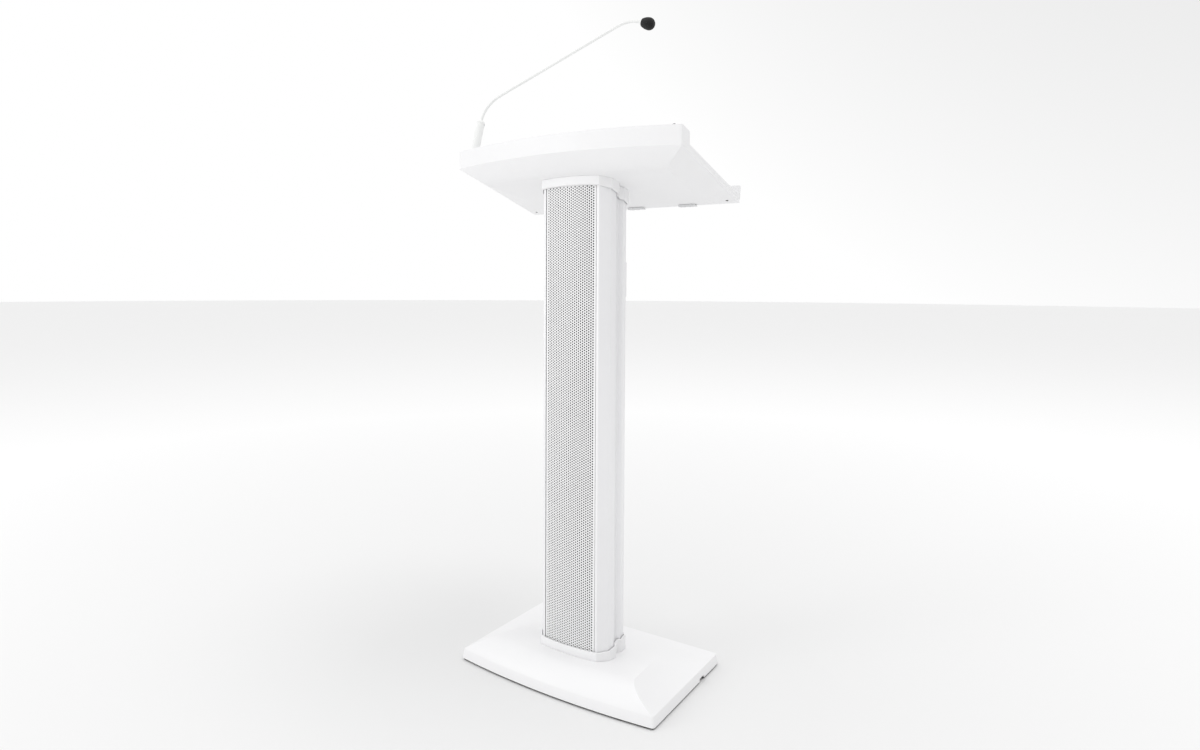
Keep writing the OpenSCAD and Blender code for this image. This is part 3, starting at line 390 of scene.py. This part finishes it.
class Bevelled:
    """Skin from a bowed edge to a flat plane that falls towards +Y. A soft curve along
    the front meets a crisp facet on each side, and a facet runs along the rear.
    rise is 1 where the skin climbs from its edge and -1 where it hangs below it."""

    def __init__(self, half, y0, y1, bow, edge_height, side_crest, front_crest, plane,
                 flat_back, rise):
        self.half, self.y0, self.y1, self.bow = half, y0, y1, bow
        self.edge_height, self.front_crest, self.plane = edge_height, front_crest, plane
        self.side_crest = [Vector(end) for end in side_crest]
        self.flat_back, self.rise = flat_back, rise

    def flat(self, x, y):
        return Vector((x, y, self.plane[0] - math.tan(self.plane[1]) * y))

    def facet(self, u, v):
        """Right side facet: u from the edge to the crest, v from front to rear."""
        y = self.y0 + (self.y1 - self.y0) * v
        low = Vector((self.half, y, self.edge_height(y)))
        return low.lerp(self.flat(*self.side_crest[0].lerp(self.side_crest[1], v)), u)

    def front(self, x, t):
        """Soft curve from the bowed edge, t = 0, to the plane, t = 1."""
        edge_y = self.y0 - self.bow * (1 - (x / self.half) ** 2)
        crest_y, crest_bow, crest_half = self.front_crest
        y = crest_y - crest_bow * (1 - (x / crest_half) ** 2)
        return curve_corner(Vector((x, edge_y, self.edge_height(edge_y))), self.flat(x, y),
                            self.flat(x, y + self.flat_back), t)

    def share(self, x, y):
        """The (u, v) of the side facet at a point of the plan."""
        u, v = 0.5, 0.5
        for _ in range(30):
            low, high = self.facet(0, v), self.facet(1, v)
            u = (x - low.x) / (high.x - low.x)
            front, rear = self.facet(u, 0), self.facet(u, 1)
            v = (y - front.y) / (rear.y - front.y)
        return u, v

    def crease(self, t):
        """Where the front curve at t meets the side facet."""
        inner, outer = self.half * 0.6, self.half
        for _ in range(40):
            x = (inner + outer) / 2
            p = self.front(x, t)
            u, v = self.share(x, p.y)
            if (self.facet(u, v).z - p.z) * self.rise > 0:
                inner = x
            else:
                outer = x
        return x, u, v

    def ring(self, t, corners=False):
        """Ring of the skin at t, with outline()'s count of points if corners is true."""
        x, u, v = self.crease(t) if t > 0 else (self.half, 0, 0)
        repeats = CORNER_STEPS if corners else 0
        half = [self.front(x * i / FRONT_STEPS, t) for i in range(FRONT_STEPS + 1)]
        half += [half[-1]] * repeats
        half += [self.facet(u, v + (1 - v) * i / SIDE_STEPS) for i in range(1, SIDE_STEPS + 1)]
        end = half[-1]
        half += [end] * repeats
        half += [Vector((end.x * (1 - i / REAR_STEPS), end.y, end.z))
                 for i in range(1, REAR_STEPS + 1)]
        ring = half + [Vector((-p.x, p.y, p.z)) for p in reversed(half[1:-1])]
        return [row(*p) for p in ring]


# ---------- base ----------
def base_outline(inset):
    return outline(BASE_W / 2 - inset, BASE_Y0 + inset, BASE_W / 2 - inset, BASE_Y1 - inset,
                   BASE_BOW, 0.007, 0.008)


def box_mesh(name, centre, size, rounding=0):
    bm = bmesh.new()
    bmesh.ops.create_cube(bm, size=1)
    bmesh.ops.transform(bm, verts=bm.verts, matrix=Matrix.Translation(centre) @ Matrix.Diagonal(
        (*size, 1)))
    if rounding:
        bmesh.ops.bevel(bm, geom=bm.edges, offset=rounding, segments=3, affect="EDGES")
    mesh = bpy.data.meshes.new(name)
    bm.to_mesh(mesh)
    bm.free()
    return mesh


def base_cover():
    """Hollow cover: tapered skirt, rim, soft front, crisp side facets and a flat top."""
    level = lambda inset, z: on_plane(base_outline(inset), z, 0)
    skin = Bevelled(half=BASE_W / 2 - RIM_INSET, y0=BASE_Y0 + RIM_INSET,
                    y1=BASE_Y1 - RIM_INSET, bow=BASE_BOW, edge_height=lambda y: RIM_Z,
                    side_crest=((0.1845, -0.0449), (0.1526, 0.1743)),
                    front_crest=(BASE_CREST_Y, BASE_CREST_BOW, BASE_CREST_HALF),
                    plane=(BASE_TOP_Z, BASE_TOP_FALL), flat_back=0.0417, rise=1)
    inner_top = outline(0.1778, -0.0309, 0.1459, 0.1603, BASE_CREST_BOW, 0.026, 0.006)
    rings = [on_plane(inner_top, BASE_TOP_Z - BASE_WALL, BASE_TOP_FALL),
             level(RIM_INSET + BASE_WALL, RIM_Z - 0.0024), level(BASE_WALL, SKIRT_Z),
             level(0.0006, SKIRT_Z), level(0, SKIRT_Z + 0.0006),
             level(RIM_INSET - 0.0002, RIM_Z - 0.001), level(RIM_INSET + 0.0001, RIM_Z)]
    rings += [skin.ring(k / SKIN_STEPS, True) for k in range(1, SKIN_STEPS + 1)]
    piece = loft("base_cover", rings, "lectern", ["base_shell"], "shell_white")
    cable_notch = row(BASE_W / 2, 0.1485, SKIRT_Z + 0.002)
    cut(piece, box_mesh("notch_cutter", cable_notch, (0.02, 0.023, 0.008), 0.0015))
    cut(piece, box_mesh("bracket_cutter", row(0, 0.0465, 0.05), (0.118, 0.065, 0.06)))
    bevel(piece, 0.0007, 2, 14)


def cut(piece, mesh):
    """Takes a cutter's volume out of a piece, at once."""
    cutter = bpy.data.objects.new("cutter", mesh)
    bpy.context.scene.collection.objects.link(cutter)
    modifier = piece.modifiers.new("cut", "BOOLEAN")
    modifier.object = cutter
    modifier.solver = "EXACT"
    apply_modifiers(piece)
    bpy.data.objects.remove(cutter)


def apply_modifiers(piece):
    graph = bpy.context.evaluated_depsgraph_get()
    done = bpy.data.meshes.new_from_object(piece.evaluated_get(graph))
    piece.modifiers.clear()
    piece.data = done


# ---------- desk ----------
CHEEK_Y = STEP_Y - DESK_WALL - 0.0001      # rear edge of the raised end cheeks


def desk_outline(inset, y1):
    return outline(DESK_W / 2 - inset, DESK_Y0 + inset, DESK_W / 2 - inset, y1 - inset,
                   DESK_BOW, 0.004, 0.003, breaks=(CHEEK_Y,))


def desk_level(inset, y1, height):
    return [row(p.x, p.y, edge_z(p.y) + height) for p in desk_outline(inset, y1)]


def desk_crest(inset, rise):
    ring = outline(0.2395 - inset, -0.0192 + inset, 0.2094 - inset, 0.2203 - inset, 0.016,
                   0.024, 0.006, breaks=(0.004 + inset,))
    return on_plane(ring, UNDER_Z + rise, UNDER_FALL)


def desk_top_ring(inset):
    """Upper edge of the pan: high along the front band and its cheeks, low behind them."""
    ring, n = [], 0
    for p in desk_outline(inset, DESK_Y1):
        high = p.y < CHEEK_Y - 1e-5
        if abs(p.y - CHEEK_Y) < 1e-5:
            # of each doubled point, the one next to the cheek is the high one
            high = (n % 2 == 0) == (p.x > 0)
            n += 1
        ring.append(row(p.x, p.y, edge_z(p.y) + (FASCIA_H if high else SEAM_H)))
    return ring


def desk_pan():
    """Upper part and inner skin follow the outline, the underside has rings of its own."""
    t = DESK_WALL
    rings = [desk_crest(0.02, t), desk_level(t, DESK_EDGE_Y1, 0.0015),
             desk_level(t, DESK_Y1, SEAM_H), desk_top_ring(t), desk_top_ring(0),
             desk_level(0, DESK_Y1, SEAM_H), desk_level(0, DESK_EDGE_Y1, 0)]
    bm = bmesh.new()
    rows = [[bm.verts.new(p) for p in ring] for ring in rings]
    n = len(rows[0])
    for lower, upper in zip(rows, rows[1:]):
        for i in range(n):
            bm.faces.new((lower[i], lower[(i + 1) % n], upper[(i + 1) % n], upper[i]))
    bm.faces.new(rows[0])
    skin = Bevelled(half=DESK_W / 2, y0=DESK_Y0, y1=DESK_EDGE_Y1, bow=DESK_BOW,
                    edge_height=edge_z, side_crest=((0.2395, -0.0352), (0.2094, 0.2203)),
                    front_crest=(-0.0192, 0.016, 0.2395), plane=(UNDER_Z, UNDER_FALL),
                    flat_back=0.022, rise=-1)
    under = [[bm.verts.new(p) for p in skin.ring(k / SKIN_STEPS)]
             for k in range(SKIN_STEPS + 1)]
    m = len(under[0])
    for lower, upper in zip(under, under[1:]):
        for i in range(m):
            bm.faces.new((lower[i], lower[(i + 1) % m], upper[(i + 1) % m], upper[i]))
    bm.faces.new(under[-1])
    # stitch the sharp outline of the underside to the upper part's rounded one
    bmesh.ops.bridge_loops(bm, edges=[e for ring in (rows[-1], under[0]) for k in
                                      range(len(ring)) for e in [bm.edges.get(
                                          (ring[k], ring[(k + 1) % len(ring)]))]])
    bmesh.ops.remove_doubles(bm, verts=bm.verts, dist=1e-6)
    bmesh.ops.dissolve_degenerate(bm, edges=bm.edges, dist=1e-6)
    piece = finish_piece(bm, "desk_pan", "lectern", ["desk_lower_shell"], "shell_white")
    bevel(piece, 0.0007, 2, 20)


# ---------- column ----------
def grille_sheet():
    """Perforated sheet: round holes in staggered rows, bent to a shallow bow."""
    low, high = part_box("speaker_grille")
    half, step = high.x - 0.0011, HOLE_PITCH * math.sin(math.radians(60))
    columns = int((2 * half - 2 * HOLE_R - 0.0012) / step) // 2 * 2 + 1
    rows_n = int((high.z - low.z - 0.006) / HOLE_PITCH) - 1
    front_y, bow = 0.0014, COLUMN_BOW - 0.0002
    z_low = BASE_TOP_Z + 0.0035
    z_high = z_low + (rows_n + 1) * HOLE_PITCH
    bm = bmesh.new()
    made = {}

    def point(x, z):
        key = (round(x, 6), round(z, 6))
        if key not in made:
            y = front_y - bow * (1 - min(1.0, (x / half)) ** 2)
            made[key] = bm.verts.new(row(x, y, z))
        return made[key]

    def hole(i, j):
        """Centre of a hole; odd columns sit half a pitch higher."""
        x = (i - (columns - 1) / 2) * step
        return x, z_low + (j + 0.75 + 0.5 * (i % 2)) * HOLE_PITCH

    def rim(i, j, k):
        x, z = hole(i, j)
        angle = math.radians(22.5 + 45 * k)
        return point(x + HOLE_R * math.cos(angle), z + HOLE_R * math.sin(angle))

    side = HOLE_R * math.sin(math.radians(22.5))
    face = lambda *corners: bm.faces.new(corners)
    for i in range(columns):
        for j in range(rows_n - 1):
            face(rim(i, j, 1), rim(i, j + 1, 6), rim(i, j + 1, 5), rim(i, j, 2))
        x = hole(i, 0)[0]
        foot = (point(x - side, z_low), point(x + side, z_low))
        head = (point(x - side, z_high), point(x + side, z_high))
        face(foot[0], foot[1], rim(i, 0, 6), rim(i, 0, 5))
        face(rim(i, rows_n - 1, 2), rim(i, rows_n - 1, 1), head[1], head[0])
    for i in range(columns - 1):
        rise = 0 if i % 2 == 0 else 1          # which neighbour lies up to the right
        for j in range(rows_n):
            up = j + rise                      # right neighbour half a pitch higher
            if up < rows_n:
                if j + 1 < rows_n:
                    face(rim(i, j, 0), rim(i, j, 1), rim(i, j + 1, 6), rim(i, j + 1, 7),
                         rim(i + 1, up, 3), rim(i + 1, up, 4))
                if up - 1 >= 0:
                    face(rim(i, j, 7), rim(i, j, 0), rim(i + 1, up, 4), rim(i + 1, up, 5),
                         rim(i + 1, up - 1, 2), rim(i + 1, up - 1, 3))
        xa, xb = hole(i, 0)[0] + side, hole(i + 1, 0)[0] - side
        last = rows_n - 1
        if rise == 0:      # the right column stands higher
            face(point(xa, z_low), point(xb, z_low), rim(i + 1, 0, 5), rim(i + 1, 0, 4),
                 rim(i, 0, 0), rim(i, 0, 7), rim(i, 0, 6))
            face(rim(i, last, 1), rim(i, last, 0), rim(i + 1, last, 4), rim(i + 1, last, 3),
                 rim(i + 1, last, 2), point(xb, z_high), point(xa, z_high))
        else:
            face(point(xa, z_low), point(xb, z_low), rim(i + 1, 0, 5), rim(i + 1, 0, 4),
                 rim(i + 1, 0, 3), rim(i, 0, 7), rim(i, 0, 6))
            face(rim(i, last, 1), rim(i, last, 0), rim(i, last, 7), rim(i + 1, last, 3),
                 rim(i + 1, last, 2), point(xb, z_high), point(xa, z_high))
    for i, sign, a, b, c, d in ((0, -1, 2, 3, 4, 5), (columns - 1, 1, 1, 0, 7, 6)):
        x = sign * half
        z_of = lambda j: hole(i, j)[1]
        centre_x = hole(i, 0)[0]
        for j in range(rows_n):
            face(rim(i, j, b), rim(i, j, c), point(x, z_of(j) - side), point(x, z_of(j) + side))
            if j + 1 < rows_n:
                face(rim(i, j, a), rim(i, j, b), point(x, z_of(j) + side),
                     point(x, z_of(j + 1) - side), rim(i, j + 1, c), rim(i, j + 1, d))
        end = rows_n - 1
        face(point(centre_x + sign * side, z_low), point(x, z_low), point(x, z_of(0) - side),
             rim(i, 0, c), rim(i, 0, d))
        face(rim(i, end, a), rim(i, end, b), point(x, z_of(end) + side), point(x, z_high),
             point(centre_x + sign * side, z_high))
    piece = finish_piece(bm, "perforated_grille", "lectern", ["speaker_grille"], "grille_white")
    if piece.data.polygons[0].normal.y > 0:
        piece.data.flip_normals()
    sheet = piece.modifiers.new("thickness", "SOLIDIFY")
    sheet.thickness = SHEET_T
    sheet.offset = -1
    apply_modifiers(piece)
    smooth(piece, 50)


# ---------- microphone ----------
def neck_joint(k):
    family = ("neck_base", (k + 1) // 2) if k <= 6 else ("neck_tip", (k - 5) // 2)
    kind = "bend" if k % 2 else "sway"
    return JOINTS[f"{family[0]}_{kind}_{family[1]}"]


NECK_JOINTS = 10
neck_points = [Vector(neck_joint(k)["pos_m"]) for k in range(1, NECK_JOINTS + 1)]
neck_bodies = [neck_joint(k)["parent"] for k in range(1, NECK_JOINTS + 1)] + [
    neck_joint(NECK_JOINTS)["child"]]
HEAD_AXIS = Vector(JOINTS["windscreen_pull"]["axis"]).normalized()
LINK = (neck_points[1] - neck_points[0]).length
BEND_AXIS = Vector(JOINTS["neck_base_bend_1"]["axis"]).normalized()


def neck_sleeve(k):
    """A ribbed stretch of the gooseneck, bent at joint k between the middles of two links."""
    here = neck_points[k - 1]
    before = DESK_UP if k == 1 else (here - neck_points[k - 2]).normalized()
    after = HEAD_AXIS if k == NECK_JOINTS else (neck_points[k] - here).normalized()
    start, end = here - before * LINK / 2, here + after * LINK / 2
    ribs, around, per_rib, rib_depth = 6, 20, 5, 0.00016
    steps = ribs * per_rib
    rings = []
    for s in range(steps + 1):
        t = s / steps
        centre = curve_corner(start, here, end, t)
        tangent = ((here - start) * (1 - t) + (end - here) * t).normalized()
        side = BEND_AXIS
        up = side.cross(tangent).normalized()
        radius = NECK_R - rib_depth + rib_depth * math.cos(2 * math.pi * t * ribs)
        rings.append([centre + (side * math.cos(a) + up * math.sin(a)) * radius
                      for a in (2 * math.pi * i / around for i in range(around))])
    nodes = [neck_bodies[k]] if neck_bodies[k].startswith("neck_link") else []
    piece = loft(f"flex_sleeve_{k}", rings, None, nodes, "neck_white")
    smooth(piece, 60)
    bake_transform(piece, neck_bodies[k - 1], neck_bodies[k], start, end)


def windscreen():
    """Foam cover: a drop-shaped cap that narrows onto the capsule's neck."""
    base = Vector(neck_joint(NECK_JOINTS)["pos_m"])
    axis, across = HEAD_AXIS, BEND_AXIS
    other = axis.cross(across).normalized()
    inner_r, start, ball_z, ball_r, lip = 0.0059, 0.0125, 0.030, 0.0138, 0.0091
    around, profile = 64, [(inner_r, 0.0381), (inner_r, start + 0.0006), (inner_r + 0.0008, start),
                           (lip - 0.0008, start), (lip, start + 0.0008), (0.0107, 0.0165),
                           (0.0123, 0.0205), (0.0133, 0.0245)]
    profile += [(ball_r * math.cos(a), ball_z + ball_r * math.sin(a)) for a in
                (math.radians(-12 + 102 * i / 22) for i in range(23))]
    rings = []
    for r, z in profile:
        ring = []
        for i in range(around):
            a = 2 * math.pi * i / around
            p = Vector((max(r, 1e-4) * math.cos(a), max(r, 1e-4) * math.sin(a), z))
            if r > inner_r + 1e-5:
                p *= 1 + 0.012 * (noise.noise(p * 900) + 0.5 * noise.noise(p * 2100))
            ring.append(base + across * p.x + other * p.y + axis * p.z)
        rings.append(ring)
    piece = loft("foam_windscreen", rings, "mic_windscreen", ["mic_windscreen"], "foam_grey")
    smooth(piece, 60)


# ---------- control panel pieces ----------
def fluted_knob(node):
    """A round knob with a fluted side, a domed cap and a raised pointer line."""
    low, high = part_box(node)
    centre = (low + high) / 2
    skirt_r, body_r, flutes = 0.007, 0.0058, 18
    back = high.y - 0.0105
    around = flutes * 6
    profile = [(0.00295, low.y), (0.003, back - 0.0001), (skirt_r, back),
               (skirt_r, back + 0.0012), (body_r + 0.0004, back + 0.0018),
               (body_r, back + 0.003), (body_r - 0.0003, high.y - 0.0016),
               (body_r - 0.001, high.y - 0.0006), (body_r - 0.002, high.y - 0.0004),
               (0.0002, high.y - 0.0007)]
    rings = []
    for r, y in profile:
        ring = []
        for i in range(around):
            a = 2 * math.pi * i / around
            depth = 0.00035 if 0.0045 < r <= body_r and y > back + 0.002 else 0
            q = r - depth * (0.5 - 0.5 * math.cos(a * flutes))
            ring.append(Vector((centre.x + q * math.cos(a), y, centre.z + q * math.sin(a))))
        rings.append(ring)
    smooth(loft(node + "_cap", rings, node, [node], "black_plastic"), 45)
    mark = bmesh.new()
    bmesh.ops.create_cube(mark, size=1)
    place = Matrix.Translation((centre.x, high.y - 0.0005, centre.z + 0.003))
    bmesh.ops.transform(mark, verts=mark.verts,
                        matrix=place @ Matrix.Diagonal((0.0008, 0.0009, 0.0046, 1)))
    bmesh.ops.bevel(mark, geom=mark.edges, offset=0.00015, segments=2, affect="EDGES")
    finish_piece(mark, node + "_pointer", node, [], "shell_white")


def panel_ticks():
    """Plain scale marks printed round each knob, as thin raised bars."""
    marks = bmesh.new()
    panel_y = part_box("knob_mic_1")[1].y - 0.014
    for node in ("knob_mic_1", "knob_mic_2", "knob_line"):
        low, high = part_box(node)
        centre = (low + high) / 2
        for k in range(11):
            angle = math.radians(-50 + 28 * k)
            direction = Vector((math.cos(angle), 0, math.sin(angle)))
            turn = Matrix.Rotation(-angle, 4, "Y")
            middle = Vector((centre.x, panel_y + 0.00005, centre.z)) + direction * 0.0096
            place = Matrix.Translation(middle)
            before = set(marks.verts)
            bmesh.ops.create_cube(marks, size=1)
            new = [v for v in marks.verts if v not in before]
            bmesh.ops.transform(marks, verts=new, matrix=place @ turn @ Matrix.Diagonal(
                (0.0022, 0.0002, 0.0004, 1)))
    finish_piece(marks, "scale_marks", "lectern", [], "black_plastic")


def flush_screws():
    """The pan's two black screws, sunk until their heads are all but flush."""
    bm = bmesh.new()
    bm.from_mesh(frame["nodes"]["desk_screws"].data)
    bmesh.ops.remove_doubles(bm, verts=bm.verts, dist=2e-5)
    bmesh.ops.translate(bm, verts=bm.verts, vec=(0, 0, 0.0005))
    piece = finish_piece(bm, "sunk_screws", "lectern", ["desk_screws"], SLOT_OF["desk_screws"])
    bevel(piece, 0.0003, 2)


# ---------- everything ----------
base_cover()
desk_pan()
grille_sheet()
softened("desk_top_shell", "desk_tray", 0.0009)
softened("column_front", "front_extrusion", 0.0007)
softened("column_rear", "rear_extrusion", 0.0007)
softened("base_collar", "lower_collar", 0.0009)
softened("top_collar", "upper_collar", 0.0009)
softened("control_panel", "rear_control_plate", 0.0005)
softened("inlet_panel", "rear_inlet_plate", 0.0005)
softened("cable_clips", "rear_clips", 0.0006)
softened("rocker_frame", "switch_frame", 0.0003)
softened("power_rocker", "switch_rocker", 0.0004)
softened("mains_inlet", "inlet_body", 0.0003)
softened("audio_jacks", "jack_bodies", 0.0003)
for side in ("left", "right"):
    softened(f"xlr_socket_{side}", f"socket_flange_{side}", 0.0004)
    softened(f"release_tab_{side}", f"tab_{side}", 0.0004)
for number in range(1, NECK_JOINTS + 1):
    neck_sleeve(number)
flush_screws()
windscreen()
for knob in ("knob_mic_1", "knob_mic_2", "knob_line"):
    fluted_knob(knob)
panel_ticks()


# ---------- studio ----------
def soft_light(name, place, aim, size, energy):
    data = bpy.data.lights.new(name, "AREA")
    data.shape = "DISK"
    data.size = size
    data.energy = energy
    lamp = bpy.data.objects.new(name, data)
    lamp.location = place
    lamp.rotation_euler = (Vector(aim) - lamp.location).to_track_quat("-Z", "Y").to_euler()
    bpy.context.scene.collection.objects.link(lamp)


def dimmed(tree, towards, darkest, start, stop):
    """1 over most of the dome, falling to darkest where it lies in the given direction."""
    direction = tree.nodes.new("ShaderNodeTexCoord")
    alike = tree.nodes.new("ShaderNodeVectorMath")
    alike.operation = "DOT_PRODUCT"
    alike.inputs[1].default_value = towards
    tree.links.new(direction.outputs["Generated"], alike.inputs[0])
    return ramp(tree, alike.outputs["Value"], 1.0, darkest, start, stop)


def studio():
    """Pale floor with a painted pool of shade round the object, under a bright dome, a soft key from the
    front left and a large top light.
    """
    floor = bpy.data.meshes.new("studio_floor")
    bm = bmesh.new()
    bmesh.ops.create_circle(bm, cap_ends=True, segments=64, radius=40)
    bm.to_mesh(floor)
    bm.free()
    ground = bpy.data.objects.new("studio_floor", floor)
    bpy.context.scene.collection.objects.link(ground)
    material, tree, shader = new_material("studio_paper", (0.85, 0.85, 0.85), 0.9)
    shader.inputs["Specular IOR Level"].default_value = 0.1
    distance = tree.nodes.new("ShaderNodeVectorMath")      # painted shade: the paper is darker round the object and paler further out
    distance.operation = "LENGTH"
    tree.links.new(object_coordinates(tree), distance.inputs[0])
    tree.links.new(ramp(tree, distance.outputs["Value"], 0.8, 0.97, 0.5, 3.4),
                   shader.inputs["Base Color"])
    floor.materials.append(material)

    world = bpy.data.worlds.new("studio_world")
    world.use_nodes = True
    tree = world.node_tree
    sky = tree.nodes["Background"]
    sky.inputs["Color"].default_value = (1, 1, 1, 1)
    # dimmer low down on the right, and high up behind the object
    low_right = dimmed(tree, (0.86, -0.3, -0.42), 0.68, 0.0, 0.8)
    high_behind = dimmed(tree, (0.3, 0.62, 0.72), 0.78, 0.55, 0.95)
    both = tree.nodes.new("ShaderNodeMath")
    both.operation = "MULTIPLY"
    tree.links.new(low_right, both.inputs[0])
    tree.links.new(high_behind, both.inputs[1])
    tree.links.new(both.outputs[0], sky.inputs["Strength"])
    bpy.context.scene.world = world
    soft_light("key", (-3.2, -4.4, 1.8), (0, 0, 0.7), 2.4, 42)
    soft_light("top", (1.8, 0.4, 6.5), (0.1, 0, 0.4), 3.5, 95)
    bpy.context.scene.view_settings.view_transform = "Standard"


CAMERA_YAW, CAMERA_PITCH, CAMERA_ROLL = (math.radians(a) for a in (32.942, 2.5308, 0.3137))
CAMERA_PLACE = (0.9319, -1.3998, 0.8730)
FOCAL_SHARE = 0.61786                      # focal length as a share of the image's width
RISE_SHARE = -0.0476                       # vertical shift as a share of the image's width


def camera():
    data = bpy.data.cameras.new("camera")
    data.sensor_width = 36
    data.lens = 36 * FOCAL_SHARE
    data.shift_y = RISE_SHARE
    data.clip_end = 100
    eye = bpy.data.objects.new("camera", data)
    yaw, pitch, roll = CAMERA_YAW, CAMERA_PITCH, CAMERA_ROLL
    ahead = Vector((-math.sin(yaw) * math.cos(pitch), math.cos(yaw) * math.cos(pitch),
                    -math.sin(pitch)))
    right = Vector((math.cos(yaw), math.sin(yaw), 0))
    up = right.cross(ahead)
    turned_right = right * math.cos(roll) + up * math.sin(roll)
    turned_up = up * math.cos(roll) - right * math.sin(roll)
    eye.matrix_world = Matrix.Translation(CAMERA_PLACE) @ Matrix(
        (turned_right, turned_up, -ahead)).transposed().to_4x4()
    bpy.context.scene.collection.objects.link(eye)
    bpy.context.scene.camera = eye


camera()
studio()
